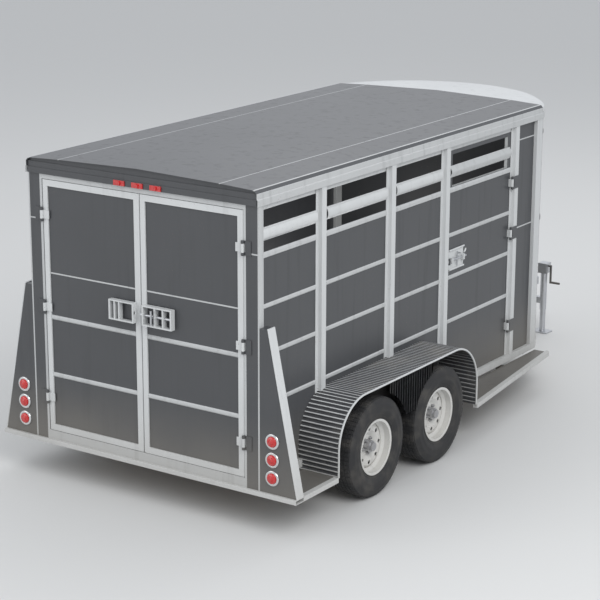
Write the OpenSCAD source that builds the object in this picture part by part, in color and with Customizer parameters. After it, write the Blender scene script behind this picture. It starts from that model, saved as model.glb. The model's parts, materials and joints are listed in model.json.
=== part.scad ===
// Tandem-axle bumper-pull livestock trailer.
// +Y is forward, +X is the kerb side, +Z is up, millimetres.
// Modules are drawn with y = 0 at the rear face of the body and moved
// by place(), so that the origin is under the middle of the whole trailer.

/* [Body] */
// Width of the body over the wall posts
body_w = 1980; // [1650:10:2100]
// Length of the straight part of the body
body_len = 3945; // [3900:1:4734]
// How far the round nose stands ahead of the straight part
nose_depth = 700; // [500:10:800]
// Height of the wall, from the sill's underside to the roof
wall_h = 1926; // [1900:2:2100]
// Height of the sill's underside above the ground
base_z = 324; // [315:1:360]
// Thickness of the wall sheets
sheet_t = 3; // [2:0.5:5]

/* [Side walls] */
// Width of a hat-section post over its flanges
post_w = 125; // [100:1:150]
// How far a post stands out of the wall sheet
post_d = 30; // [20:1:40]
// Width of a post's outer face
post_face = 56; // [40:1:70]
// Height of the wall sheet's top edge above the sill's underside
sheet_h = 1606; // [1500:1:1640]
// Height of the first slat gap's top edge
vent_top = 1885; // [1870:1:1890]
// Underside of the slat
slat_z0 = 1680; // [1660:1:1700]
// Top of the slat
slat_z1 = 1770; // [1740:1:1790]
// Height of a pressed rib
rib_h = 34; // [20:1:40]
// How far a rib stands out
rib_d = 9; // [5:0.5:12]

/* [Rear doors] */
// Width of the rear corner columns
column_w = 124; // [110:1:140]
// Depth of the rear corner columns
column_d = 50; // [45:1:60]
// Thickness of a rear door
door_t = 40; // [35:1:48]
// Width of the door frame tube
door_tube = 45; // [35:1:55]
// Gap around a door
door_gap = 4; // [3:0.5:6]
// Height of the door's lower edge above the sill's underside
door_z0 = 52; // [52:1:60]
// Radius of the hinge knuckles
knuckle_r = 11; // [10:0.5:12]
// Radius of the hinge pins
pin_r = 6; // [5:0.5:7]

/* [Running gear] */
// Outer radius of the tyres
tyre_r = 366; // [350:1:370]
// Width of the tyres
tyre_w = 215; // [195:1:225]
// Distance from the rear face to the rear axle
axle_y = 1031; // [1020:1:1040]
// Distance between the two axles
axle_pitch = 868; // [864:1:890]
// How far the axle beams lie below the wheel centres
axle_drop = 127; // [120:1:135]
// Radius of the axle beams
beam_r = 38; // [34:1:38]
// Radius of the spindles
spindle_r = 17.5; // [15:0.5:20]
// Gap from the overall side to the tyre's outer face
tyre_inset = 12; // [5:1:20]

/* [Fenders and boards] */
// Width over the fenders and the rear bumper
overall_w = 2590; // [2550:2:2600]
// Thickness of the fender and board plates
plate_t = 4; // [3:0.5:6]
// Height of the fender's top above the sill's underside
fender_h = 500; // [480:1:520]
// How far the fender's ends stand beyond the axles
fender_end = 531; // [500:1:560]
// Radius of the fender's two top corners
fender_r = 340; // [250:5:360]
// How far the running board stands out at the front corner
board_front = 130; // [100:5:200]
// Width of the board's outer tube
rail_w = 40; // [30:1:50]
// Height of the bumper and of the board's outer tube
rail_h = 36; // [30:1:40]
// Height of the tail wings above the sill's underside
wing_h = 1120; // [1000:5:1180]
// Depth of the tail wings
wing_d = 80; // [60:1:80]
// How far the wing's top stands out of the body
wing_top = 72; // [50:1:100]
// Diameter of the tail lamps over their rings
lamp_d = 110; // [90:1:120]

/* [Tongue] */
// Distance from the nose to the centre of the hitch ball
ball_reach = 1185; // [1100:5:1400]
// Radius of the ball socket
socket_r = 25.8; // [25.5:0.1:30]
// Half angle between the two tongue arms of a body 1980 wide
arm_angle = 25; // [22:1:27]
// Width of a tongue arm
arm_w = 50; // [40:1:60]
// Height of a tongue arm
arm_h = 76; // [60:1:80]
// Radius of the jack's outer tube
jack_r = 30; // [28:0.5:34]
// Wall of the jack's outer tube
jack_wall = 4; // [3:0.5:5]
// How far the jack's foot can be raised
jack_lift = 190; // [100:5:190]

/* [Part] */
// The sub-part to show

/* [Hidden] */
$fn = 64;
e = 0.05;                                  // running clearance on a radius
half = body_w / 2;
full = overall_w / 2;
skin_x = half - post_d;                    // outer face of the wall sheets
in_x = skin_x - sheet_t;                   // inner face of the wall sheets
nose_r = (half * half + nose_depth * nose_depth) / (2 * nose_depth);
nose_y = body_len + nose_depth - nose_r;   // centre of the nose's arc
ball_y = body_len + nose_depth + ball_reach;
coupler_nose = 45;
rear_out = 65;                             // the rear latch's grip
rear_y = -(ball_y + coupler_nose - rear_out) / 2;
top_z = base_z + wall_h;                   // underside of the roof
sill_w = 60;
sill_h = 52;
sill_top = base_z + sill_h;
deck_t = 38;                               // floor planks
deck_z = sill_top - deck_t;
cross_h = 50;
post_y = [764, 1664, 2440, body_len - 419];
corner_y = body_len - 90;                  // rear edge of the front column
fender_top = base_z + fender_h;
fender_mid = axle_y + axle_pitch / 2;
fender_y0 = axle_y - fender_end;
fender_y1 = axle_y + axle_pitch + fender_end;
board_z = 304;                             // underside of the running boards
rail_z = board_z + plate_t - rail_h;
wheel_x = full - tyre_inset - tyre_w / 2;
rib_zs = [base_z + 555, base_z + 904, base_z + 1235];
rear_rib_zs = [base_z + 472, base_z + 897];
crease_z = base_z + 1220;
open_x = half - column_w;                  // half width of the rear opening
hinge_y = -knuckle_r - 1;
rear_hinge_zs = [base_z + 300, base_z + 970, base_z + 1640];
side_door_y0 = post_y[2] + post_w / 2 + 5;
side_door_y1 = post_y[3] - post_w / 2 - 5;
side_axis = [half - 3, side_door_y1 + 2];
side_hinge_zs = [base_z + 300, base_z + 1070, base_z + 1480];
latch_z = base_z + 1057;
side_latch_z = base_z + 1040;
arm_z = deck_z - arm_h;
arm_land = 150.65;                         // from the arms' front spread to the body's side
arm_turn = atan(tan(arm_angle) * (half - arm_land) / (990 - arm_land));
jack_at = [320, ball_y - 430];
crank_z = 625;

module place() { translate([0, rear_y, 0]) children(); }
module left_side() { mirror([1, 0, 0]) children(); }
module both() { children(); left_side() children(); }
// A block given by its two corners
module box(a, b) { translate(a) cube(b - a); }
// Shapes drawn in (y, z) and extruded from x0 to x1
module along_x(x0, x1) { translate([x0, 0, 0]) rotate([90, 0, 90]) linear_extrude(x1 - x0) children(); }
// Shapes drawn in (x, z) and extruded from y0 to y1
module along_y(y0, y1) { translate([0, y1, 0]) rotate([90, 0, 0]) linear_extrude(y1 - y0) children(); }
module rod_x(x0, x1, y, z, r) { translate([x0, y, z]) rotate([0, 90, 0]) cylinder(r = r, h = x1 - x0); }
module rod_y(x, y0, y1, z, r) { translate([x, y1, z]) rotate([90, 0, 0]) cylinder(r = r, h = y1 - y0); }
module rod_z(x, y, z0, z1, r) { translate([x, y, z0]) cylinder(r = r, h = z1 - z0); }
// A hollow tube along y, open at its ends
module tube_y(a, b, wall) {
    difference() {
        box(a, b);
        box([a[0] + wall, a[1] - 1, a[2] + wall], [b[0] - wall, b[1] + 1, b[2] - wall]);
    }
}
module tube_x(a, b, wall) {
    difference() {
        box(a, b);
        box([a[0] - 1, a[1] + wall, a[2] + wall], [b[0] + 1, b[1] - wall, b[2] - wall]);
    }
}
// A ring sector about the nose's centre, ahead of the straight body
module nose_ring(r0, r1, z0, z1) {
    intersection() {
        translate([0, nose_y, z0]) difference() {
            cylinder(r = r1, h = z1 - z0, $fn = 180);
            translate([0, 0, -1]) cylinder(r = r0, h = z1 - z0 + 2, $fn = 180);
        }
        box([-half - 200, body_len, z0 - 10], [half + 200, body_len + nose_depth + 200, z1 + 10]);
    }
}

// ---- Chassis ----
module arm_block(grow) {
    reach = ball_y - 130;
    run = (reach - (body_len - 45)) / cos(arm_turn);
    both() translate([45, reach, arm_z - grow]) rotate([0, 0, arm_turn])
        translate([-arm_w / 2 - grow, -run, 0]) cube([arm_w + 2 * grow, run, arm_h + 2 * grow]);
}
module tongue_arms() color("gainsboro") place() {
    difference() {
        arm_block(0);
        box([-45 - arm_w, ball_y - 160, arm_z - 1], [-0.2, ball_y, deck_z + 1]);
        box([0.2, ball_y - 160, arm_z - 1], [45 + arm_w, ball_y, deck_z + 1]);
    }
}
module frame_rails() color("gainsboro") place() {
    both() tube_y([half - sill_w, column_d, base_z], [half, body_len, sill_top], plate_t);
    difference() {
        nose_ring(nose_r - sill_w, nose_r, base_z, sill_top);
        arm_block(0.3);
    }
}
cross_ys = [250, 610, 1200, 1620, 2060, 2500, 2940, 3380, 3800];
module cross_members() color("gainsboro") place() {
    difference() {
        union() {
            for (y = cross_ys)
                tube_x([-half + sill_w, y, deck_z - cross_h], [half - sill_w, y + 50, deck_z], plate_t);
            intersection() {
                box([-half, body_len + 350, deck_z - cross_h], [half, body_len + 400, deck_z]);
                translate([0, nose_y, 0]) cylinder(r = nose_r - sill_w, h = base_z + 100, $fn = 180);
            }
        }
        arm_block(0.3);
    }
    both() for (y = [cross_ys[0], cross_ys[5], cross_ys[7]])
        box([half - sill_w, y, rail_z], [y > 3000 ? half + 70 : full - rail_w - 30, y + 50, board_z]);
}
module rear_bumper() color("gainsboro") place()
    tube_x([-full, -20, board_z - 32], [full, 80, board_z], plate_t);
function board_edge(y) = full + (half + board_front - full) * (y - fender_y1) / (body_len - fender_y1);
module running_boards() color("dimgray") place() both() {
    box([half, wing_d, board_z], [full - rail_w, fender_y0, board_z + plate_t]);
    translate([0, 0, board_z]) linear_extrude(plate_t)
        polygon([[half, fender_y1], [board_edge(fender_y1) - rail_w, fender_y1],
            [half + board_front - rail_w, body_len], [half, body_len]]);
}
module outer_rails() color("gainsboro") place() both() {
    tube_y([full - rail_w, 80, rail_z], [full, fender_y0, board_z + plate_t], plate_t);
    translate([0, 0, rail_z]) linear_extrude(rail_h) {
        polygon([[full - rail_w, fender_y1], [full, fender_y1], [half + board_front, body_len],
            [half + board_front - rail_w, body_len]]);
        intersection() {
            translate([half + board_front - rail_w, body_len]) circle(r = rail_w);
            translate([half + board_front - rail_w, body_len]) square(rail_w + 1);
        }
    }
}
module floor_planks() color("burlywood") place() {
    count = 9;
    gap = 4;
    w = (2 * (half - sill_w - 2) - (count - 1) * gap) / count;
    intersection() {
        union() for (i = [0 : count - 1])
            translate([-half + sill_w + 2 + i * (w + gap), column_d, deck_z])
                cube([w, body_len + nose_depth, deck_t]);
        union() {
            translate([0, nose_y, 0]) cylinder(r = nose_r - sill_w - 4, h = top_z, $fn = 180);
            box([-half, 0, 0], [half, body_len, top_z]);
        }
    }
}

// ---- Coupler, latch and jack ----
module coupler() color("silver") place() {
    top = deck_z + 6;
    difference() {
        union() {
            translate([0, 0, deck_z]) linear_extrude(6)
                polygon([[-45 - arm_w * 0.9, ball_y - 240], [-40, ball_y - 60], [-40, ball_y],
                    [40, ball_y], [40, ball_y - 60], [45 + arm_w * 0.9, ball_y - 240]]);
            rod_z(0, ball_y, deck_z - 22, deck_z + 42, coupler_nose);
            box([-40, ball_y - 156, deck_z - 22], [40, ball_y, deck_z]);
            both() box([13, ball_y - 95, top], [19, ball_y - 60, top + 40]);
        }
        rod_z(0, ball_y, deck_z - 23, deck_z + 32, socket_r);
        rod_z(0, ball_y - 110, deck_z - 40, deck_z + 20, 8);
        rod_x(-30, 30, ball_y - 78, top + 22, 5);
    }
    rod_x(-19, 19, ball_y - 78, top + 22, 5);
}
module coupler_latch() color("silver") place() {
    z = deck_z + 28;
    difference() {
        union() {
            box([-12, ball_y - 230, z - 6], [12, ball_y - 78, z + 6]);
            rod_x(-12, 12, ball_y - 78, z, 11);
            rod_y(0, ball_y - 262, ball_y - 230, z, 9);
        }
        rod_x(-13, 13, ball_y - 78, z, 5 + e);
    }
}
sleeve_z0 = 215;
sleeve_z1 = 590;
module jack_sleeve() color("silver") place() {
    x = jack_at[0];
    y = jack_at[1];
    bore = jack_r - jack_wall;
    difference() {
        union() {
            rod_z(x, y, sleeve_z0, sleeve_z1, jack_r);
            box([x - 42, y - 45, sleeve_z1 - 30], [x + 42, y + 45, sleeve_z1 + 62]);
            difference() {
                box([x - 190, y - 25, arm_z + 10], [x, y + 25, arm_z + 66]);
                arm_block(0);
                box([-400, y - 200, 0], [45 + (ball_y - 130 - y) * tan(arm_turn), y + 200, 700]);
            }
        }
        rod_z(x, y, sleeve_z0 - 1, sleeve_z1 - 8, bore);
        rod_x(x + 20, x + 43, y, crank_z, 8 + e);
    }
}
module jack_leg() color("silver") place() {
    x = jack_at[0];
    y = jack_at[1];
    difference() {
        union() {
            rod_z(x, y, 10, 388, jack_r - jack_wall - e);
            translate([x - 75, y - 60, 0]) cube([150, 120, 12]);
        }
        rod_z(x, y, 12, 389, jack_r - jack_wall - 4);
    }
}
module jack_crank() color("dimgray") place() {
    x = jack_at[0] + 42;
    y = jack_at[1];
    rod_x(x - 20, x + 30, y, crank_z, 8);
    hull() {
        rod_x(x + 18, x + 30, y, crank_z, 11);
        rod_x(x + 18, x + 30, y, crank_z - 150, 11);
    }
    rod_x(x + 24, x + 115, y, crank_z - 150, 10);
}

// ---- Side walls ----
function bay_y0(i) = i == 0 ? column_d : post_y[i - 1] + post_w / 2;
function bay_y1(i) = i == 4 ? corner_y : post_y[i] - post_w / 2;
module rib2d(z, h, d) {
    polygon([[skin_x - 1, z - h / 2], [skin_x, z - h / 2], [skin_x + d, z - h / 4],
        [skin_x + d, z + h / 4], [skin_x, z + h / 2], [skin_x - 1, z + h / 2]]);
}
// The wall sheet's outline in (x, z), with its ribs and its folded top
module sheet2d(ribbed) {
    translate([in_x, sill_top]) square([sheet_t, sheet_h - sill_h]);
    if (ribbed) for (z = rib_zs) rib2d(z, rib_h, rib_d);
    fold = base_z + sheet_h;
    polygon([[skin_x - 1, fold - 45], [skin_x + rib_d, fold - 38], [skin_x + rib_d, fold - 16],
        [skin_x - 1, fold]]);
}
module plain_panel(y0, y1) {
    along_y(y0, y1) {
        translate([in_x, sill_top]) square([sheet_t, top_z - sill_top]);
        rib2d(base_z + 1085, 12, 4);
        rib2d(base_z + 1800, 12, 4);
    }
}
module fixed_bay(i) {
    along_y(bay_y0(i), bay_y1(i)) sheet2d(true);
}
module backing(y0, y1) {
    box([in_x, y0, sill_top], [skin_x, y1, base_z + sheet_h]);
}
module side_sheets(left) {
    for (i = [0 : 3]) if (left || i < 3) fixed_bay(i);
    for (i = [0 : 2]) backing(bay_y1(i), i < 2 || left ? bay_y0(i + 1) : bay_y1(i) + post_w);
    if (left) backing(bay_y1(3), bay_y0(4));
    if (!left) backing(post_y[3] - post_w / 2, bay_y0(4));
    plain_panel(bay_y0(4), bay_y1(4));
}
module side_sheets_left() color("dimgray") place() left_side() side_sheets(true);
module side_sheets_right() color("dimgray") place() side_sheets(false);
// Hat section, drawn in plan
module hat2d(y, t) {
    a = y - post_w / 2;
    b = y + post_w / 2;
    c = y - post_face / 2;
    d = y + post_face / 2;
    polygon([[skin_x, a], [skin_x + t, a], [skin_x + t, c - 4], [half, c], [half, d],
        [skin_x + t, d + 4], [skin_x + t, b], [skin_x, b], [skin_x, d + 1], [half - t, d - t],
        [half - t, c + t], [skin_x, c - 1]]);
}
module fender2d(grow) {
    r = fender_r + grow;
    translate([fender_y0 + fender_r, fender_top - fender_r]) circle(r = r, $fn = 96);
    translate([fender_y1 - fender_r, fender_top - fender_r]) circle(r = r, $fn = 96);
    translate([fender_y0 + fender_r, fender_top - 2 * fender_r])
        square([fender_y1 - fender_y0 - 2 * fender_r, 2 * fender_r + grow]);
    translate([fender_y0 - grow, board_z - 100])
        square([fender_y1 - fender_y0 + 2 * grow, fender_top - fender_r - board_z + 100]);
}
module wall_posts() {
    difference() {
        for (y = post_y) translate([0, 0, sill_top]) linear_extrude(top_z - sill_top) hat2d(y, 3);
        along_x(half - 60, half + 10) fender2d(0.2);
    }
}
module wall_posts_left() color("gainsboro") place() left_side() wall_posts();
module wall_posts_right() color("gainsboro") place() wall_posts();
module slat2d() {
    mid = base_z + (slat_z0 + slat_z1) / 2;
    a = base_z + slat_z0;
    b = base_z + slat_z1;
    tip = skin_x + 21;
    polygon([[in_x, a], [in_x + 4, a], [tip, mid - 9], [tip, mid + 9], [in_x + 4, b], [in_x, b],
        [tip - 5, mid + 8], [tip - 5, mid - 8]]);
}
module vent_slats() color("gainsboro") place() {
    for (i = [0 : 2]) along_y(bay_y0(i), bay_y1(i)) slat2d();
    left_side() for (i = [0 : 3]) along_y(bay_y0(i), bay_y1(i)) slat2d();
}
module front_columns() color("gainsboro") place() both()
    difference() {
        box([half - sill_w, corner_y, sill_top], [half, body_len, top_z]);
        box([half - sill_w + 4, corner_y + 4, sill_top - 1], [half - 4, body_len - 4, top_z + 1]);
    }
module nose_wall() color("dimgray") place() {
    nose_ring(nose_r - 8 - sheet_t, nose_r - 8, sill_top, top_z);
    nose_ring(nose_r - 8.5, nose_r - 2, base_z + 1079, base_z + 1091);
    nose_ring(nose_r - 8.5, nose_r - 2, base_z + 1794, base_z + 1806);
}
// ---- Roof ----
roof_rise = 138;
module roof_edge2d(inset) {
    t = inset;
    polygon([[-half - 6 + t, top_z - (t > 0 ? 1 : 0)], [-half - 6 + t, top_z + 44],
        [-half + 2 + t, top_z + 49], [-half + 2 + t, top_z + 84 - t],
        [-half + 24 + t * 0.6, top_z + 108 - t],
        [-690, top_z + 121 - t], [0, top_z + roof_rise - t], [690, top_z + 121 - t],
        [half - 24 - t * 0.6, top_z + 108 - t], [half - 2 - t, top_z + 84 - t],
        [half - 2 - t, top_z + 49], [half + 6 - t, top_z + 44], [half + 6 - t, top_z - (t > 0 ? 1 : 0)]]);
}
module roof_sheet() color("dimgray") place() {
    along_y(-20, body_len) difference() {
        roof_edge2d(0);
        roof_edge2d(plate_t);
    }
}
module rear_fascia() color("gainsboro") place() {
    along_y(0, plate_t) difference() {
        roof_edge2d(plate_t + 0.3);
        translate([-half * 2, top_z - 10]) square([half * 4, 10]);
    }
    box([-half + 10, -12, top_z + 2], [half - 10, 0, top_z + 44]);
    box([-half + 10, -7, top_z + 44], [half - 10, 0, top_z + 84]);
}
module dome2d(t) {
    polygon([[0, top_z - 1], [nose_r + 6 - t, top_z - (t > 0 ? 1 : 0)], [nose_r + 6 - t, top_z + 44],
        [nose_r - 6 - t, top_z + 80 - t / 2], [nose_r - 46 - t * 0.4, top_z + 106 - t],
        [nose_r - 240, top_z + 121 - t], [0, top_z + roof_rise - t]]);
}
module nose_cap() color("gainsboro") place() intersection() {
    translate([0, nose_y, 0]) rotate_extrude($fn = 180) difference() {
        dome2d(0);
        dome2d(plate_t);
        translate([-1, top_z - 2]) square([nose_r + 6 - plate_t, 2.5]);
    }
    box([-half - 200, body_len + 0.1, top_z], [half + 200, body_len + 1000, top_z + 300]);
}
bow_ys = [120, 764, 1320, 1880, 2440, 3000, body_len - 419, body_len - 60];
module top_rails() color("gainsboro") place() {
    both() tube_y([in_x - 42, column_d, base_z + vent_top], [in_x, corner_y, top_z], 4);
    nose_ring(nose_r - 50, nose_r - 12, base_z + vent_top, top_z);
}
module roof_bows() color("gainsboro") place() {
    outer = in_x - 7;
    inner = outer - 35;
    for (y = bow_ys) along_y(y - 20, y + 20)
        polygon([[-outer, top_z], [-outer, top_z + 94], [-690, top_z + 112], [0, top_z + 129],
            [690, top_z + 112], [outer, top_z + 94], [outer, top_z], [inner, top_z],
            [inner, top_z + 66], [0, top_z + 98], [-inner, top_z + 66], [-inner, top_z]]);
}

// ---- Rear frame and doors ----
door_x0 = 3;
door_x1 = open_x - door_gap;
door_top = base_z + wall_h - 37;
module rear_frame() color("gainsboro") place() {
    both() difference() {
        box([open_x, 0, board_z], [half, column_d, top_z]);
        box([open_x + 4, 4, board_z - 1], [half - 4, column_d - 4, top_z + 1]);
        box([open_x + 20, -1, base_z + sheet_h - 3], [half + 1, 0.8, base_z + sheet_h + 1]);
    }
    box([-open_x, 0, door_top + 4], [open_x, column_d, top_z]);
    box([-open_x, 0, board_z], [open_x, column_d, base_z + door_z0 - 4]);
}
module door_frame(x0, x1, z0, z1) {
    w = door_tube;
    difference() {
        box([x0, 0, z0], [x1, door_t, z1]);
        box([x0 + w, -1, z0 + w], [x1 - w, door_t + 1, z1 - w]);
        for (x = [x0, x1]) translate([x, 0, 0]) rotate([0, 0, 45])
            translate([-4, -4, z0 - 1]) cube([8, 8, z1 - z0 + 2]);
    }
}
module rear_door_frame() {
    door_frame(door_x0, door_x1, base_z + door_z0, door_top);
    for (z = rear_hinge_zs) difference() {
        union() {
            rod_z(open_x - door_gap / 2 + 1, hinge_y, z - 30, z + 30, knuckle_r);
            box([door_x1 - 58, -6, z - 30], [open_x - 1, 0, z + 30]);
        }
        rod_z(open_x - door_gap / 2 + 1, hinge_y, z - 31, z + 31, pin_r + e);
        box([open_x - 2, -5, z - 31], [open_x + 30, 5, z + 31]);
    }
}
module rear_door_panel() {
    x0 = door_x0 + door_tube;
    x1 = door_x1 - door_tube;
    z0 = base_z + door_z0 + door_tube;
    z1 = door_top - door_tube;
    along_x(x0, x1) {
        translate([10, z0]) square([sheet_t, z1 - z0]);
        for (z = rear_rib_zs)
            polygon([[12, z + rib_h / 2], [10, z + rib_h / 2], [10 - rib_d, z + rib_h / 4],
                [10 - rib_d, z - rib_h / 4], [10, z - rib_h / 2], [12, z - rib_h / 2]]);
        translate([6, crease_z - 5]) square([6, 10]);
    }
}
module rear_door_left_frame() color("gainsboro") place() left_side() rear_door_frame();
module rear_door_right_frame() color("gainsboro") place() rear_door_frame();
module rear_door_left_panel() color("dimgray") place() left_side() rear_door_panel();
module rear_door_right_panel() color("dimgray") place() rear_door_panel();
slot_half = 12;                            // half width of the slot in a keeper
case_z0 = latch_z - 72;
case_z1 = latch_z + 72;
// A box frame of flat bars, with upright bars between
module latch_box(x0, x1, bars) {
    difference() {
        box([x0, -40, case_z0], [x1, 0, case_z1]);
        box([x0 + 12, -41, case_z0 + 10], [x1 - 12, 1, case_z1 - 10]);
    }
    for (x = bars) box([x - 5, -40, case_z0 + 9], [x + 5, 0, case_z1 - 9]);
}
module rear_latch_case() color("gainsboro") place() difference() {
    latch_box(36, 290, [145, 215]);
    rod_x(30, 280, -20, latch_z, 9 + e);
}
module rear_latch_bolt() color("silver") place() {
    rod_x(15, 268, -20, latch_z, 9);
    rod_y(131, -52, -20, latch_z, 7);
    rod_z(131, -58, latch_z - 50, latch_z + 50, 7);
}
module rear_door_left_keeper() color("gainsboro") place() difference() {
    latch_box(-256, -38, [-206, -166]);
    box([-60, -20 - slot_half, latch_z - slot_half], [-30, -20 + slot_half, latch_z + slot_half]);
}
module side_door_frame() color("gainsboro") place() {
    y0 = side_door_y0;
    y1 = side_door_y1;
    z0 = sill_top + 4;
    z1 = base_z + vent_top;
    difference() {
        box([in_x - 27, y0, z0], [in_x, y1, z1]);
        box([in_x - 28, y0 + 40, z0 + 40], [in_x + 1, y1 - 40, base_z + sheet_h - 30]);
        box([in_x - 28, y0 + 40, base_z + sheet_h], [in_x + 1, y1 - 40, z1 - 30]);
    }
    for (z = side_hinge_zs) difference() {
        union() {
            box([skin_x, y1 - 12, z - 30], [side_axis[0], y1, z + 30]);
            box([in_x, y1 - 12, z - 30], [skin_x, y1, z + 30]);
            rod_z(side_axis[0], side_axis[1], z - 30, z + 30, 10);
        }
        rod_z(side_axis[0], side_axis[1], z - 31, z + 31, pin_r + e);
        box([skin_x - 20, y1 + 2, z - 31], [side_axis[0] - 6, y1 + 20, z + 31]);
    }
}
module side_door_panel() color("dimgray") place() {
    y0 = side_door_y0;
    y1 = side_door_y1;
    difference() {
        union() {
            along_y(y0, y1) intersection() {
                sheet2d(true);
                translate([0, sill_top + 4]) square([half, top_z]);
            }
            along_y(y0 + 2, y1 - 14) slat2d();
            box([in_x, y0, base_z + vent_top - 30], [skin_x, y1, base_z + vent_top]);
            for (y = [y0, y1 - 40])
                box([in_x + 0.3, y, base_z + sheet_h - 1], [skin_x, y + 40, base_z + vent_top - 29]);
        }
        for (z = side_hinge_zs) box([in_x - 1, y1 - 12, z - 30], [half, y1 + 1, z + 30]);
    }
}
module side_latch_case() color("gainsboro") place() {
    x = skin_x;
    y0 = side_door_y0 + 8;
    difference() {
        union() {
            box([x, y0, side_latch_z - 80], [x + 4, y0 + 220, side_latch_z + 80]);
            for (y = [y0 + 5, y0 + 180])
                box([x + 3, y, side_latch_z - 22], [x + 34, y + 16, side_latch_z + 22]);
        }
        rod_y(x + 18, y0 - 5, y0 + 230, side_latch_z, 8 + e);
    }
    for (s = [-1, 1]) {
        z = side_latch_z + s * 76;
        rod_y(x + 7, y0, y0 + 225, z, 7);
        translate([x + 7, y0 + 225, z - s * 25]) rotate([s * 90 - 90, 0, 0]) rotate([0, 90, 0])
            rotate_extrude(angle = 90, $fn = 32) translate([25, 0]) circle(r = 7, $fn = 24);
    }
}
module side_latch_bolt() color("silver") place() {
    x = skin_x + 18;
    y0 = side_door_y0;
    rod_y(x, y0 + 4, y0 + 245, side_latch_z, 8);
    box([x - 3, y0 + 110, side_latch_z - 55], [x + 3, y0 + 122, side_latch_z + 55]);
    rod_x(x, x + 28, y0 + 116, side_latch_z + 45, 6);
}
// Hinge halves and pins on the body, and the side latch's keeper
module door_fittings() color("silver") place() {
    both() for (z = rear_hinge_zs) {
        x = open_x - door_gap / 2 + 1;
        rod_z(x, hinge_y, z - 52, z + 52, pin_r);
        for (s = [-1, 1]) {
            a = s > 0 ? z + 31 : z - 50;
            rod_z(x, hinge_y, a, a + 19, knuckle_r);
            box([x, -6, a], [open_x + 18, 0, a + 19]);
        }
        box([open_x + 17, -6, z - 50], [open_x + 62, 0, z + 50]);
    }
    for (z = side_hinge_zs) {
        rod_z(side_axis[0], side_axis[1], z - 52, z + 52, pin_r);
        for (s = [-1, 1]) {
            a = s > 0 ? z + 31 : z - 50;
            rod_z(side_axis[0], side_axis[1], a, a + 19, 10);
            box([half, side_axis[1], a], [half + 5, side_axis[1] + 18, a + 19]);
        }
        box([half, side_axis[1] + 17, z - 50], [half + 5, post_y[3] + 20, z + 50]);
    }
    difference() {
        box([skin_x + 3, side_door_y0 - 32, side_latch_z - 24],
            [skin_x + 34, side_door_y0 - 14, side_latch_z + 24]);
        box([skin_x + 18 - slot_half, side_door_y0 - 40, side_latch_z - slot_half],
            [skin_x + 18 + slot_half, side_door_y0 - 5, side_latch_z + slot_half]);
    }
}

// ---- Roof fascia, wings and lights ----
wing_run = wing_h + base_z - board_z;
wing_lean = atan((full - half - wing_top) / wing_run);
edge_t = 14;
function wing_x(z) = full - edge_t / cos(wing_lean) - (z - board_z) * tan(wing_lean) - 0.2;
module tail_wings() color("dimgray") place() both() difference() {
    top = base_z + wing_h - 8;
    along_y(0, wing_d)
        polygon([[half, board_z], [wing_x(board_z), board_z], [wing_x(top), top], [half, top]]);
    along_y(sheet_t, wing_d - sheet_t) polygon([
        [half + 3, board_z - 1], [wing_x(board_z) - 4, board_z - 1],
        [wing_x(top) - 4, top - 4], [half + 3, top - 4]]);
}
module wing_edges() color("gainsboro") place() both() intersection() {
    translate([full, 0, board_z]) rotate([0, -wing_lean, 0]) translate([-edge_t, 0, -20])
        linear_extrude(wing_run / cos(wing_lean) + 20) {
            translate([0, edge_t / 2]) square([edge_t, wing_d - edge_t]);
            for (y = [edge_t / 2, wing_d - edge_t / 2]) translate([edge_t / 2, y]) circle(r = edge_t / 2);
        }
    box([half, -1, board_z], [full, wing_d + 1, top_z]);
}
lamp_x = half + 104;
lamp_zs = [base_z + 93, base_z + 222, base_z + 351];
module lamp_rings() color("silver") place() both() for (z = lamp_zs) difference() {
    rod_y(lamp_x, -12, 0, z, lamp_d / 2);
    rod_y(lamp_x, -13, 1, z, lamp_d / 2 - 9);
}
module lamp_lenses() color("firebrick") place() both() for (z = lamp_zs) {
    r = lamp_d / 2 - 9.3;
    rod_y(lamp_x, -10, 0, z, r);
    intersection() {
        translate([lamp_x, 45, z]) sphere(r = norm([r, 55]), $fn = 96);
        box([lamp_x - r, -30, z - r], [lamp_x + r, -9.9, z + r]);
    }
}
module clearance_lights() color("firebrick") place() for (x = [-156, 0, 156]) {
    box([x - 46, -22, top_z + 4], [x + 46, -12, top_z + 40]);
    translate([x, -22, top_z + 22]) intersection() {
        rotate([90, 0, 0]) cylinder(r = 15, h = 10);
        box([-40, -10, -15], [40, 0, 15]);
    }
}
module fender() {
    difference() {
        along_x(skin_x + 0.3, full) difference() {
            intersection() {
                fender2d(0);
                translate([0, board_z]) square([body_len, 900]);
            }
            fender2d(-plate_t);
        }
        box([half - 70, 0, 0], [half + 0.2, body_len, sill_top + 0.2]);
    }
    // Outer lip with the gusset between the wheels
    along_x(full - 6, full) difference() {
        intersection() {
            fender2d(-plate_t + 0.5);
            translate([0, board_z]) square([body_len, 900]);
        }
        difference() {
            fender2d(-34);
            translate([fender_mid - 300, base_z + 190]) square([600, 400]);
        }
        for (y = [axle_y, axle_y + axle_pitch]) translate([y, tyre_r]) circle(r = tyre_r + 24, $fn = 96);
    }
}
module fender_left() color("gainsboro") place() left_side() fender();
module fender_right() color("gainsboro") place() fender();

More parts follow.
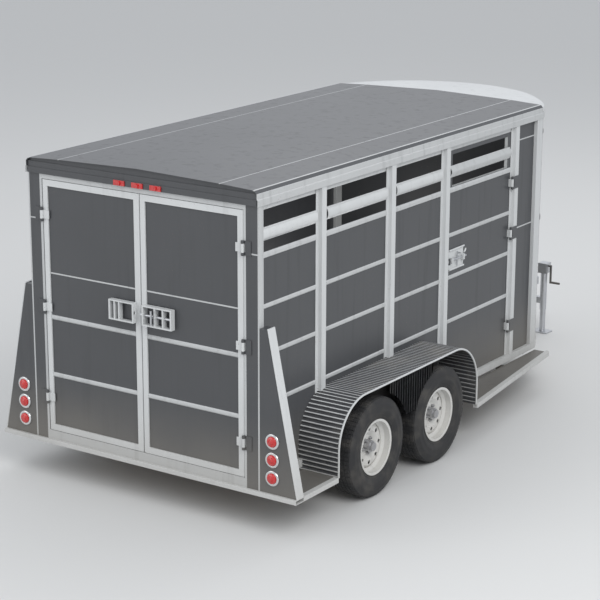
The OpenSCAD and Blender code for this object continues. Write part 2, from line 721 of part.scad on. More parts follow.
// ---- Axles, springs and wheels ----
axle_ys = [axle_y, axle_y + axle_pitch];
beam_z = tyre_r - axle_drop;
spring_x = half - 35;
spring_w = 45;
eye_z = base_z - 39;
leaf_t = 6;
spring_z = beam_z - beam_r;                // top of the main leaf at its middle
half_span = (axle_pitch - 208) / 2;
arch = eye_z - 14 - (spring_z - leaf_t);
leaf_r = (half_span * half_span + arch * arch) / (2 * arch);
plate_x = wheel_x - 105;                   // inner face of the backing plate
module axles() color("dimgray") place() for (y = axle_ys) {
    difference() {
        rod_x(-half - 4, half + 4, y, beam_z, beam_r);
        rod_x(-half, half, y, beam_z, beam_r - 6);
    }
    both() {
        box([half + 4, y - 40, beam_z - 40], [half + 22, y + 40, tyre_r + 40]);
        rod_x(half + 22, plate_x + 1, y, tyre_r, 34);
        rod_x(plate_x, plate_x + 5, y, tyre_r, 133);
        rod_x(plate_x + 5, wheel_x + 48, y, tyre_r, spindle_r);
    }
}
module leaf(y, r, a) {
    translate([spring_x - spring_w / 2, y, spring_z + leaf_r - leaf_t])
        rotate([0, 90, 0]) rotate([0, 0, -a])
            rotate_extrude(angle = 2 * a, $fn = 180) translate([r, 0]) square([leaf_t, spring_w]);
}
module leaf_springs() color("dimgray") place() both() for (y = axle_ys) {
    a = asin(half_span / leaf_r);
    difference() {
        union() {
            leaf(y, leaf_r - leaf_t, a);
            for (s = [-1, 1])
                rod_x(spring_x - spring_w / 2, spring_x + spring_w / 2, y + s * half_span, eye_z, 17);
        }
        for (s = [-1, 1]) rod_x(spring_x - 60, spring_x + 60, y + s * half_span, eye_z, 8);
    }
    leaf(y, leaf_r, a * 0.66);
    leaf(y, leaf_r + leaf_t, a * 0.4);
}
end_ys = [axle_y - half_span, axle_y + axle_pitch + half_span];
module cheeks(y0, y1, z0, z1) {
    for (s = [-1, 1])
        translate([spring_x + s * (spring_w / 2 + 4.3) - 3, y0, z0]) cube([6, y1 - y0, z1 - z0]);
}
module spring_hangers() color("dimgray") place() both() {
    difference() {
        union() {
            for (y = end_ys) cheeks(y - 25, y + 25, eye_z - 25, base_z - 0.2);
            box([spring_x - 20, fender_mid - 30, eye_z - 20],
                [spring_x + 20, fender_mid + 30, base_z - 0.2]);
            cheeks(fender_mid - 130, fender_mid + 130, eye_z - 18, eye_z + 18);
        }
        for (y = concat(end_ys, [fender_mid, fender_mid - 104, fender_mid + 104]))
            rod_x(spring_x - 60, spring_x + 60, y, eye_z, 8);
    }
}
module spring_fasteners() color("silver") place() both() {
    for (y = concat(end_ys, [fender_mid, fender_mid - 104, fender_mid + 104])) {
        rod_x(spring_x - 36, spring_x + 36, y, eye_z, 7.9);
        for (x = [spring_x - 40, spring_x + 30])
            translate([x, y, eye_z]) rotate([0, 90, 0]) cylinder(r = 12, h = 10, $fn = 6);
    }
    for (y = axle_ys) {
        for (x = [spring_x - 30, spring_x + 30]) {
            translate([x, y, beam_z]) rotate([0, 90, 0]) rotate([0, 0, 90])
                rotate_extrude(angle = 180, $fn = 48) translate([beam_r + 5.3, 0]) circle(r = 5, $fn = 24);
            for (s = [-1, 1]) rod_z(x, y + s * (beam_r + 5.3), spring_z - 50, beam_z, 5);
        }
        difference() {
            box([spring_x - 38, y - 55, spring_z - 33], [spring_x + 38, y + 55, spring_z - 3 * leaf_t - 3]);
            for (x = [spring_x - 30, spring_x + 30], s = [-1, 1])
                rod_z(x, y + s * (beam_r + 5.3), 0, 400, 5.2);
        }
    }
}
bead_r = 190.5;
heel_r = 214;                              // where the sidewall leaves the bead
// A radius on the sidewall: 0 is the heel and 152 the tread
function wall(part) = heel_r + part * (tyre_r - heel_r) / 152;
module tyre_at(y) translate([wheel_x, y, tyre_r]) rotate([0, 90, 0]) rotate_extrude($fn = 96) {
    w = tyre_w / 2;
    difference() {
        polygon([[bead_r, -81], [204, -81], [heel_r, -88], [wall(26), -102], [wall(61), -w],
            [wall(91), -w + 1], [wall(121), -w + 8], [wall(138), -w + 17], [tyre_r - 3, -w + 27],
            [tyre_r, -w + 45], [tyre_r, w - 45], [tyre_r - 3, w - 27], [wall(138), w - 17],
            [wall(121), w - 8], [wall(91), w - 1], [wall(61), w], [wall(26), 102], [heel_r, 88],
            [204, 81], [bead_r, 81]]);
        polygon([[bead_r - 1, -66], [206, -68], [wall(26), -88], [wall(61), -w + 12],
            [wall(111), -w + 20], [wall(134), -w + 34], [wall(138), 0], [wall(134), w - 34],
            [wall(111), w - 20], [wall(61), w - 12], [wall(26), 88], [206, 68], [bead_r - 1, 66]]);
    }
}
stud_ring = 57.15;
module rim_at(y) translate([wheel_x, y, tyre_r]) rotate([0, 90, 0]) {
    rotate_extrude($fn = 96) polygon([[203, -87.5], [203, -83], [190, -81.2], [190, -60], [168, -45],
            [168, 20],
        [190, 36], [190, 81.2], [203, 83], [203, 87.5], [199, 87.5], [199, 86.5], [186, 84], [186, 38],
        [164, 22], [164, -47], [186, -62], [186, -84], [199, -86.5], [199, -87.5]]);
    difference() {
        rotate_extrude($fn = 96) polygon([[43, -1], [76, -1], [110, 22], [140, 22], [166, 4], [166, 10],
            [142, 28], [108, 28], [74, 5], [43, 5]]);
        for (i = [0 : 4]) rotate([0, 0, i * 72]) translate([stud_ring, 0, -10]) cylinder(r = 7.2, h = 30);
        for (i = [0 : 7]) rotate([0, 0, i * 45]) translate([125, 0, -10]) cylinder(r = 15, h = 60);
    }
}
module hub_at(y) translate([wheel_x, y, tyre_r]) rotate([0, 90, 0]) {
    difference() {
        union() {
            translate([0, 0, -96]) difference() {
                cylinder(r = 135, h = 60);
                translate([0, 0, -1]) cylinder(r = 127, h = 55);
            }
            translate([0, 0, -80]) cylinder(r = 42, h = 130);
            translate([0, 0, -12]) cylinder(r = 76, h = 11);
            translate([0, 0, 50]) cylinder(r = 32, h = 18);
        }
        translate([0, 0, -100]) cylinder(r = spindle_r + e, h = 150);
    }
    for (i = [0 : 4]) rotate([0, 0, i * 72]) translate([stud_ring, 0, -1.5]) {
        cylinder(r = 6.35, h = 32);
        translate([0, 0, 6.5]) cylinder(r = 12, h = 16, $fn = 6);
    }
}
module tyre_rear_left() color("black") place() left_side() tyre_at(axle_ys[0]);
module tyre_rear_right() color("black") place() tyre_at(axle_ys[0]);
module tyre_front_left() color("black") place() left_side() tyre_at(axle_ys[1]);
module tyre_front_right() color("black") place() tyre_at(axle_ys[1]);
module rim_rear_left() color("white") place() left_side() rim_at(axle_ys[0]);
module rim_rear_right() color("white") place() rim_at(axle_ys[0]);
module rim_front_left() color("white") place() left_side() rim_at(axle_ys[1]);
module rim_front_right() color("white") place() rim_at(axle_ys[1]);
module hub_rear_left() color("gray") place() left_side() hub_at(axle_ys[0]);
module hub_rear_right() color("gray") place() hub_at(axle_ys[0]);
module hub_front_left() color("gray") place() left_side() hub_at(axle_ys[1]);
module hub_front_right() color("gray") place() hub_at(axle_ys[1]);

frame_rails();
cross_members();
rear_bumper();
running_boards();
outer_rails();
tongue_arms();
coupler();
coupler_latch();
jack_sleeve();
jack_leg();
jack_crank();
floor_planks();
side_sheets_left();
side_sheets_right();
wall_posts_left();
wall_posts_right();
vent_slats();
front_columns();
nose_wall();
top_rails();
roof_bows();
roof_sheet();
nose_cap();
rear_frame();
rear_fascia();
door_fittings();
tail_wings();
wing_edges();
lamp_rings();
lamp_lenses();
clearance_lights();
fender_left();
fender_right();
axles();
leaf_springs();
spring_hangers();
spring_fasteners();
rear_door_left_frame();
rear_door_left_panel();
rear_door_left_keeper();
rear_door_right_frame();
rear_door_right_panel();
rear_latch_case();
rear_latch_bolt();
side_door_frame();
side_door_panel();
side_latch_case();
side_latch_bolt();
tyre_rear_left();
tyre_rear_right();
tyre_front_left();
tyre_front_right();
rim_rear_left();
rim_rear_right();
rim_front_left();
rim_front_right();
hub_rear_left();
hub_rear_right();
hub_front_left();
hub_front_right();
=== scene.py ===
import json
from math import atan2, cos, pi, radians, sin

import bmesh
import bpy
from mathutils import Matrix, Vector

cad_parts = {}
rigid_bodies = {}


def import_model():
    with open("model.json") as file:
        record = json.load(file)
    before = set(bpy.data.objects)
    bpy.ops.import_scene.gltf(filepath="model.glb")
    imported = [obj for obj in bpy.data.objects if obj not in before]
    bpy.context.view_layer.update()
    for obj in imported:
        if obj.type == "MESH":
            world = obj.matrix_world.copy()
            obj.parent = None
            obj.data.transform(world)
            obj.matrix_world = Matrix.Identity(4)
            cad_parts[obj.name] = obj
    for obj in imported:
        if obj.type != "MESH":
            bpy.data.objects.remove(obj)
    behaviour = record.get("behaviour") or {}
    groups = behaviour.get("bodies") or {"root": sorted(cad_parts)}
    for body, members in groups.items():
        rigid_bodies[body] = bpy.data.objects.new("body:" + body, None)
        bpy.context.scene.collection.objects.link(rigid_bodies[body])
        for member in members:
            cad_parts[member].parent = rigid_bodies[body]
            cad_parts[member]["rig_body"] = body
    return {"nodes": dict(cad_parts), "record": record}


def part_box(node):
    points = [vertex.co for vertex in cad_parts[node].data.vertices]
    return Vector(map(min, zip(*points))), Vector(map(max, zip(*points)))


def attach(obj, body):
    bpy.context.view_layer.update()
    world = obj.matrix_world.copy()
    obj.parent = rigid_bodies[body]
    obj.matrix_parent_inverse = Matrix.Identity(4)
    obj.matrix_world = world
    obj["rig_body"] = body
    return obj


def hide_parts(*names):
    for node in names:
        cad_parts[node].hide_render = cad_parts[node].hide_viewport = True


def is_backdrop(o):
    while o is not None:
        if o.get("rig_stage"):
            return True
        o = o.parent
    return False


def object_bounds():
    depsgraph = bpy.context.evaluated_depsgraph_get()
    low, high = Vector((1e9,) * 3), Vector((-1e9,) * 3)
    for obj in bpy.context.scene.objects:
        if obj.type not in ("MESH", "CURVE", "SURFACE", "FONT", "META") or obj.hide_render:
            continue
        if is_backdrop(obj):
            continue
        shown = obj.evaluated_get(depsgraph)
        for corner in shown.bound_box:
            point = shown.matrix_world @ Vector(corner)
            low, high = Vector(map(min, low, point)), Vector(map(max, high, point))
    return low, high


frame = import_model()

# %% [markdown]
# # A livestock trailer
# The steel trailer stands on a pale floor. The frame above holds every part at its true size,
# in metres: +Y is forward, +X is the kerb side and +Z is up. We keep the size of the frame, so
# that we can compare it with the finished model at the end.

cad_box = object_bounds()
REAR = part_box("rear_frame")[0].y
WHEELS = {}
for corner in ("rear_left", "rear_right", "front_left", "front_right"):
    low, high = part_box("tyre_" + corner)
    WHEELS[corner] = (low + high) / 2
print("frame from", [round(v, 3) for v in cad_box[0]], "to", [round(v, 3) for v in cad_box[1]])

# %% [markdown]
# ## Shader maths
# A finish is built from nodes. Joining Math nodes by hand is slow to read, so a small class wraps
# a socket and adds the node when we write `a * b` or `1 - a`. Another class holds one material
# and has one method for every other kind of node.

# %% Values that do sums
class Value:
    def __init__(self, tree, socket):
        self.tree, self.socket = tree, socket

    def maths(self, operation, *values):
        node = self.tree.nodes.new("ShaderNodeMath")
        node.operation = operation
        for place, value in enumerate(values):
            if isinstance(value, Value):
                self.tree.links.new(value.socket, node.inputs[place])
            else:
                node.inputs[place].default_value = value
        return Value(self.tree, node.outputs[0])

    def __add__(self, other):
        return self.maths("ADD", self, other)

    def __radd__(self, other):
        return self.maths("ADD", other, self)

    def __sub__(self, other):
        return self.maths("SUBTRACT", self, other)

    def __rsub__(self, other):
        return self.maths("SUBTRACT", other, self)

    def __mul__(self, other):
        return self.maths("MULTIPLY", self, other)

    def __abs__(self):
        return self.maths("ABSOLUTE", self)

    def above(self, other):
        return self.maths("GREATER_THAN", self, other)

    def larger(self, other):
        return self.maths("MAXIMUM", self, other)

    def wave(self):
        return self.maths("SINE", self)

# %% A finish and its nodes
class Finish:
    def __init__(self, name):
        self.material = bpy.data.materials.new(name)
        self.material.use_nodes = True
        self.tree = self.material.node_tree
        self.shader = self.tree.nodes["Principled BSDF"]
        self.spot = self.node("ShaderNodeTexCoord", output="Object")

    def node(self, kind, settings=None, sockets=None, output=0):
        node = self.tree.nodes.new(kind)
        for key, value in (settings or {}).items():
            setattr(node, key, value)
        for key, value in (sockets or {}).items():
            if isinstance(value, Value):
                self.tree.links.new(value.socket, node.inputs[key])
            else:
                node.inputs[key].default_value = value
        return Value(self.tree, node.outputs[output])

    def along(self, axis):
        return self.node("ShaderNodeSeparateXYZ", {}, {0: self.spot}, axis)

    def noise(self, scale, detail=3.0, stretch=(1, 1, 1)):
        spot = self.node("ShaderNodeMapping", {}, {"Vector": self.spot, "Scale": stretch})
        return self.node("ShaderNodeTexNoise", {}, {"Vector": spot, "Scale": scale,
                                                    "Detail": detail}, "Fac")

    def ease(self, value, low, high):
        return self.node("ShaderNodeMapRange", {"interpolation_type": "SMOOTHSTEP"},
                         {"Value": value, "From Min": low, "From Max": high})

    def mix(self, mask, first, second):
        full = [c if isinstance(c, Value) else (*c, 1) for c in (first, second)]
        return self.node("ShaderNodeMix", {"data_type": "RGBA"},
                         {0: mask, 6: full[0], 7: full[1]}, 2)

    def bumps(self, *layers):
        """Each layer is (height, strength, depth in metres)."""
        normal = None
        for height, strength, depth in layers:
            sockets = {"Height": height, "Strength": strength, "Distance": depth}
            if normal:
                sockets["Normal"] = normal
            normal = self.node("ShaderNodeBump", {}, sockets)
        self.tree.links.new(normal.socket, self.shader.inputs["Normal"])

    def set(self, **values):
        for key, value in values.items():
            socket = self.shader.inputs[key.replace("_", " ")]
            if isinstance(value, Value):
                self.tree.links.new(value.socket, socket)
            else:
                socket.default_value = value
        return self.material

FINISHES = {}
print("the shader classes are ready")

# %% [markdown]
# ## Painted steel
# Farm trailers are sprayed with a satin coat over sheet steel. The sheet is never quite flat, the
# coat has a fine orange peel, road dust settles low down, rain draws streaks and small chips show
# primer. One function makes every paint, and `trim` marks where a lighter coat covers the pressed
# ribs and the edges.

# %% Paint
DUST = (0.30, 0.27, 0.22)

def paint(name, colour, light, roughness, trim=None, sheet=0.004):
    """A sprayed coat. `trim` marks where `light` covers it; `sheet` is the depth of its waves."""
    finish = Finish(name)
    height = finish.along("Z")
    cloud = finish.noise(1.7, 4)
    streak = finish.ease(finish.noise(16, 3, (1, 1, 0.06)), 0.52, 0.75)
    speck = finish.ease(finish.noise(95, 2), 0.66, 0.72) * finish.ease(cloud, 0.45, 0.6)
    road = 1 - finish.ease(height + cloud * 0.35, 0.35, 1.05)
    coat = finish.mix(cloud, colour, [c * 1.25 for c in colour])
    if trim:
        coat = finish.mix(trim(finish), coat, finish.mix(cloud, light, [c * 0.86 for c in light]))
    coat = finish.mix(streak * 0.16, coat, [c * 0.45 for c in colour])
    coat = finish.mix(road * 0.34, coat, DUST)
    coat = finish.mix(speck * 0.5, coat, (0.16, 0.12, 0.10))
    finish.set(Base_Color=coat, Roughness=roughness + road * 0.25 + cloud * 0.1 + streak * 0.08)
    finish.set(Coat_Weight=0.25, Coat_Roughness=0.22, Specular_IOR_Level=0.5)
    finish.bumps((finish.noise(2.6, 2), 0.35, sheet), (finish.noise(420, 1), 0.12, 0.0006))
    return finish.material

CHARCOAL, PALE = (0.050, 0.052, 0.056), (0.50, 0.51, 0.51)
RIB_HEIGHT = 0.009                # the ribs of the side sheets stand out this far
DOOR_INSET = 0.010                # the rear door sheets lie this far inside the frame's face
COAT_START = 0.0006               # the pale coat begins this far off a sheet
SIDE_SKIN = -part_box("side_sheets_left")[0].x - RIB_HEIGHT
DOOR_FACE = REAR + DOOR_INSET
COLUMN_EDGES = 0.884, 0.978       # a rear column is pale inside the first and outside the second
SEAM_HEIGHT, SEAM_HALF = 1.929, 0.005     # the seam across the columns, and half its width
# Pale lines along the roof, as (distance from the middle, half width), and its pale edge
ROOF_FOLDS = (0.690, 0.004), (0.962, 0.006)
ROOF_EDGE = 0.986

def side_ribs(finish):
    return abs(finish.along("X")).above(SIDE_SKIN + COAT_START)

def door_ribs(finish):
    return 1 - finish.along("Y").above(DOOR_FACE - COAT_START)

def frame_edges(finish):
    across = abs(finish.along("X"))
    seam = 1 - abs(finish.along("Z") - SEAM_HEIGHT).above(SEAM_HALF)
    inner, outer = COLUMN_EDGES
    return across.above(outer).larger(1 - across.above(inner)).larger(seam)

def roof_folds(finish):
    across = abs(finish.along("X"))
    pale = across.above(ROOF_EDGE)
    for place, half in ROOF_FOLDS:
        pale = pale.larger(1 - abs(across - place).above(half))
    return pale

FINISHES["roof"] = paint("charcoal_roof_pale_folds", CHARCOAL, PALE, 0.38, roof_folds)
FINISHES["panel"] = paint("charcoal_sheet", CHARCOAL, PALE, 0.36)
FINISHES["side"] = paint("charcoal_sheet_pale_ribs", CHARCOAL, PALE, 0.36, side_ribs)
FINISHES["door"] = paint("charcoal_door_pale_ribs", CHARCOAL, PALE, 0.36, door_ribs)
FINISHES["rear"] = paint("charcoal_frame_pale_edges", CHARCOAL, PALE, 0.36, frame_edges, 0.001)
FINISHES["frame"] = paint("pale_frame_paint", PALE, PALE, 0.34, None, 0.001)
FINISHES["wheel"] = paint("white_wheel_paint", (0.60, 0.60, 0.585), PALE, 0.28, None, 0.0004)
FINISHES["chassis"] = paint("black_chassis_paint", (0.03, 0.03, 0.032), PALE, 0.42, None, 0.001)
print(len(FINISHES), "paints")

# %% [markdown]
# ## Rubber, bare metal, wood and lenses
# Tyre rubber is dull and grey with dust where it bends. Zinc plate is cloudy and finely brushed.
# Planks have grain along their length. A lens is clear red plastic moulded with small prisms.

# %% Rubber
def rubber():
    finish = Finish("tyre_rubber")
    cloud, fine = finish.noise(9, 4), finish.noise(160, 3)
    dusty = finish.ease(cloud, 0.42, 0.72)
    coat = finish.mix(dusty * 0.4, (0.026, 0.026, 0.027), (0.120, 0.112, 0.100))
    finish.set(Base_Color=coat, Roughness=0.62 + dusty * 0.25, Specular_IOR_Level=0.35)
    finish.bumps((fine, 0.25, 0.0008))
    return finish.material

FINISHES["tyre"] = rubber()
print(FINISHES["tyre"].name)

# %% Bare and plated metal
def metal(name, colour, roughness, stretch, brushed):
    finish = Finish(name)
    cloud = finish.noise(14, 4)
    brush = finish.noise(220, 2, stretch)
    stain = finish.ease(finish.noise(38, 4), 0.58, 0.78)
    coat = finish.mix(cloud * 0.5, colour, [c * 0.62 for c in colour])
    finish.set(Base_Color=finish.mix(stain * 0.3, coat, (0.17, 0.10, 0.06)))
    finish.set(Metallic=1 - stain * 0.5, Roughness=roughness + cloud * 0.18 + stain * 0.2)
    finish.bumps((brush, brushed, 0.0004))
    return finish.material

FINISHES["zinc"] = metal("zinc_plate", (0.62, 0.63, 0.65), 0.30, (1, 1, 0.1), 0.18)
FINISHES["hub"] = metal("hub_casting", (0.52, 0.52, 0.53), 0.38, (1, 1, 1), 0.5)
FINISHES["chrome"] = metal("lamp_chrome", (0.80, 0.80, 0.80), 0.08, (1, 1, 1), 0.02)
print([FINISHES[key].name for key in ("zinc", "hub", "chrome")])

# %% Fender and board plate
def ribbed_plate():
    finish = Finish("worn_plate")
    scuff = finish.ease(finish.noise(26, 5, (1, 0.25, 1)), 0.5, 0.7)
    cloud = finish.noise(3, 4)
    coat = finish.mix(cloud, (0.070, 0.072, 0.076), (0.12, 0.12, 0.125))
    coat = finish.mix(scuff * 0.3, coat, (0.30, 0.30, 0.30))
    coat = finish.mix(finish.ease(cloud, 0.5, 0.75) * 0.35, coat, DUST)
    finish.set(Base_Color=coat, Metallic=0.55 + scuff * 0.3, Roughness=0.40 + cloud * 0.2)
    finish.bumps((finish.noise(240, 2), 0.2, 0.0006))
    return finish.material

FINISHES["plate"] = ribbed_plate()
print(FINISHES["plate"].name)

# %% Planks
def planks():
    finish = Finish("floor_plank")
    grain = finish.noise(34, 5, (1, 0.05, 1))
    board = finish.noise(5, 1, (1, 0.02, 0.02))
    coat = finish.mix(grain, (0.20, 0.12, 0.06), (0.42, 0.29, 0.17))
    coat = finish.mix(board * 0.5, coat, (0.27, 0.21, 0.15))
    finish.set(Base_Color=coat, Roughness=0.66 + grain * 0.2)
    finish.bumps((grain, 0.5, 0.002))
    return finish.material

FINISHES["plank"] = planks()
print(FINISHES["plank"].name)

# %% Lens
PRISMS = 900                      # radians a metre, so one prism is about 7 mm across

def lens():
    finish = Finish("red_lens")
    x, z = finish.along("X"), finish.along("Z")
    prisms = (x * PRISMS).wave() * (z * PRISMS).wave()
    cloud = finish.noise(60, 2)
    finish.set(Base_Color=finish.mix(cloud, (0.42, 0.010, 0.012), (0.60, 0.022, 0.020)))
    finish.set(Roughness=0.12 + cloud * 0.08, Coat_Weight=0.8, Coat_Roughness=0.05)
    finish.bumps((prisms, 0.35, 0.0010))
    return finish.material

FINISHES["lens"] = lens()
print(len(FINISHES), "finishes")

# %% [markdown]
# ## Finishing a mesh
# Rolled and folded steel has no razor edges: every corner has a small radius that catches a line
# of light. Each structural piece is a copy of its node with merged points, flat faces joined into
# one, and its sharp edges bevelled. A weighted normal keeps the big faces flat beside the bevels.

# %% Make an object from a bmesh
def finished(bm, name, body, finish, slot, nodes=(), sharp=34, second=None):
    """An object from a bmesh. Edges that turn by more than `sharp` degrees stay crisp."""
    for edge in bm.edges:
        edge.smooth = edge.is_manifold and edge.calc_face_angle(0) < radians(sharp)
    for face in bm.faces:
        face.smooth = True
    mesh = bpy.data.meshes.new(name)
    bm.to_mesh(mesh)
    bm.free()
    mesh.materials.append(FINISHES[finish])
    if second:
        mesh.materials.append(FINISHES[second])
    piece = bpy.data.objects.new(name, mesh)
    bpy.context.scene.collection.objects.link(piece)
    piece.modifiers.new("Even faces", "WEIGHTED_NORMAL").keep_sharp = True
    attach(piece, body)
    if nodes:
        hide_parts(*nodes)
    return piece

# %% Copy a node and round its edges
SLOTS = {part["node"]: part["material_slot"] for part in frame["record"]["subparts"]}
WELD = 0.00002                    # corners of a node nearer than this are one corner
FLAT, CORNER = 0.6, 32            # degrees: flatter edges are dissolved, sharper ones rounded

def rounded_copy(node, finish, radius):
    source = frame["nodes"][node]
    bm = bmesh.new()
    bm.from_mesh(source.data)
    bmesh.ops.remove_doubles(bm, verts=bm.verts, dist=WELD)
    bmesh.ops.dissolve_limit(bm, angle_limit=radians(FLAT), verts=bm.verts, edges=bm.edges)
    hard = [e for e in bm.edges if e.is_manifold and e.calc_face_angle(0) > radians(CORNER)]
    bmesh.ops.bevel(bm, geom=hard, offset=radius, offset_type="OFFSET", segments=2,
                    profile=0.5, affect="EDGES", material=-1, clamp_overlap=True)
    return finished(bm, node + "_rounded", source["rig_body"], finish, SLOTS[node], [node])

# %% [markdown]
# ## Frame, sheets and chassis
# The pieces below keep their exact shapes and only gain a radius and a finish. Tube takes about
# 3 mm, thin sheet under 1 mm and small castings 1 mm.

# %% Structural pieces
STRUCTURE = {
    "frame_rails": ("frame", 0.003), "cross_members": ("chassis", 0.002),
    "rear_bumper": ("frame", 0.004), "running_boards": ("panel", 0.001),
    "outer_rails": ("frame", 0.004), "tongue_arms": ("frame", 0.003),
    "coupler": ("zinc", 0.0015), "coupler_latch": ("zinc", 0.0015),
    "jack_sleeve": ("zinc", 0.0020), "jack_leg": ("zinc", 0.0010),
    "jack_crank": ("chassis", 0.0010), "floor_planks": ("plank", 0.003),
    "side_sheets_left": ("side", 0.0012), "side_sheets_right": ("side", 0.0012),
    "wall_posts_left": ("frame", 0.0012), "wall_posts_right": ("frame", 0.0012),
    "front_columns": ("frame", 0.004), "nose_wall": ("panel", 0.001),
    "top_rails": ("frame", 0.002), "roof_bows": ("frame", 0.002),
    "roof_sheet": ("roof", 0.0008), "nose_cap": ("frame", 0.0015), "rear_frame": ("rear", 0.003),
    "rear_fascia": ("panel", 0.0006), "door_fittings": ("panel", 0.0008),
    "tail_wings": ("panel", 0.002), "wing_edges": ("frame", 0.001),
    "axles": ("chassis", 0.0015), "leaf_springs": ("chassis", 0.001),
    "spring_hangers": ("chassis", 0.001), "spring_fasteners": ("zinc", 0.0008),
    "rear_door_left_frame": ("frame", 0.003), "rear_door_right_frame": ("frame", 0.003),
    "rear_door_left_panel": ("door", 0.0012), "rear_door_right_panel": ("door", 0.0012),
    "rear_door_left_keeper": ("frame", 0.0015), "rear_latch_case": ("frame", 0.0015),
    "rear_latch_bolt": ("zinc", 0.0015), "side_door_frame": ("frame", 0.002),
    "side_door_panel": ("side", 0.0012), "side_latch_case": ("frame", 0.0012),
    "side_latch_bolt": ("zinc", 0.001), "clearance_lights": ("lens", 0.002),
}
for corner in WHEELS:
    STRUCTURE["rim_" + corner] = ("wheel", 0.0009)
    STRUCTURE["hub_" + corner] = ("hub", 0.0009)
total = 0
for node, (finish, radius) in STRUCTURE.items():
    piece = rounded_copy(node, finish, radius)
    total += len(piece.data.polygons)
print(len(STRUCTURE), "structural pieces,", total, "faces")

# %% [markdown]
# ## Tyres
# A radial trailer tyre is a spun shape with moulded rings on its sidewalls and ribs of blocks on
# its tread. The profile is drawn as one chain of points and spun about the axle. The quads of the
# tread are then inset one by one and raised, which leaves grooves between real blocks. A bump map
# would be lighter, but it leaves the outline of the tyre smooth where blocks should show.

# %% Tyre profile
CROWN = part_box("tyre_rear_left")[1].z / 2
GROOVE = 0.0065                   # depth of the tread
BLOCK_GAP = 0.0028                # half the slot between two blocks
SHOULDER_DROP = 0.0035            # the outer edges of the tread are this much lower
WELD_SPUN = 0.00001               # points of a spun shape nearer than this are one
# Across the tyre, the edges of its five ribs: each pair of numbers is one rib
TREAD = [-0.082, -0.050, -0.046, -0.018, -0.014, 0.014, 0.018, 0.046, 0.050, 0.082]
# The outside of a sidewall, as (radius, distance from the middle of the tyre)
SIDE = [(0.1905, 0.081), (0.204, 0.081), (0.212, 0.0865), (0.222, 0.0935), (0.226, 0.0925),
        (0.240, 0.1005), (0.258, 0.1045), (0.262, 0.1062), (0.270, 0.1062), (0.274, 0.1048),
        (0.296, 0.1042), (0.300, 0.1058), (0.312, 0.1054), (0.316, 0.1030), (0.334, 0.0975),
        (0.347, 0.0905)]

def tyre(corner):
    centre = WHEELS[corner]
    bm = bmesh.new()
    outside = [(r, -w) for r, w in SIDE]
    crown = [(CROWN - GROOVE - (SHOULDER_DROP if abs(w) > 0.06 else 0), w) for w in TREAD]
    inside = [(0.3405, 0.078), (0.300, 0.094), (0.262, 0.094), (0.226, 0.082), (0.1905, 0.066)]
    inner = [(r, -w) for r, w in reversed(inside)] + [(0.352, 0.0)] + inside
    loop = outside + crown + [(r, w) for r, w in reversed(SIDE)]
    points = [bm.verts.new((w, 0, r)) for r, w in loop]
    points += [bm.verts.new((w, 0, r)) for r, w in reversed(inner)]
    chain = [bm.edges.new((points[i], points[(i + 1) % len(points)]))
             for i in range(len(points))]
    bmesh.ops.spin(bm, geom=points + chain, cent=(0, 0, 0), axis=(1, 0, 0), dvec=(0, 0, 0),
                   angle=2 * pi, steps=72, use_merge=True)
    bmesh.ops.remove_doubles(bm, verts=bm.verts, dist=WELD_SPUN)
    bmesh.ops.recalc_face_normals(bm, faces=bm.faces)
    bands = {}
    for face in bm.faces:
        middle = face.calc_center_median()
        far = (middle.y ** 2 + middle.z ** 2) ** 0.5
        if far > CROWN - 0.016:
            for place in (0, 2, 4, 6, 8):
                if TREAD[place] < middle.x < TREAD[place + 1]:
                    bands.setdefault(place, []).append(face)
    for place, blocks in bands.items():
        bmesh.ops.inset_individual(bm, faces=blocks, thickness=BLOCK_GAP,
                                   depth=GROOVE - 0.0008)
    shoulder = [f for f in bm.faces if 0.347 < f.calc_center_median().yz.length < 0.360
                and abs(f.calc_center_median().x) > 0.082]
    bmesh.ops.inset_individual(bm, faces=shoulder, thickness=0.0050, depth=0.004)
    bmesh.ops.transform(bm, matrix=Matrix.Translation(centre), verts=bm.verts)
    return finished(bm, "tyre_treaded_" + corner, "wheel_" + corner, "tyre", "tyre",
                    ["tyre_" + corner])

for corner in WHEELS:
    piece = tyre(corner)
print("tyre:", len(piece.data.polygons), "faces each, crown radius", round(CROWN, 4), "m")

# %% [markdown]
# ## Fenders
# The fender is a ribbed sheet rolled over both wheels: pressed ribs run across it about every
# 34 mm. Its path is walked in small steps and a wave lifts the sheet on each rib. Extruding the
# path across and thickening it gives the skin. Copies of one rib set along a curve would do too,
# but a wave on the path stays in one sheet round the bends. A rolled bead stiffens the outer edge,
# and an upright ribbed plate fills the space between the tyres.

# %% Path of the fender
FENDER_LOW, FENDER_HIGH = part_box("fender_right")
FENDER_INNER = 0.9605             # from the middle of the trailer to its inner edge
ARC = 0.340                       # radius of its two bends
SHEET = 0.003                     # thickness of the skin and of the plate below it
RIB_PITCH = 0.034                 # from one pressed rib to the next
PATH_STEP = RIB_PITCH / 8

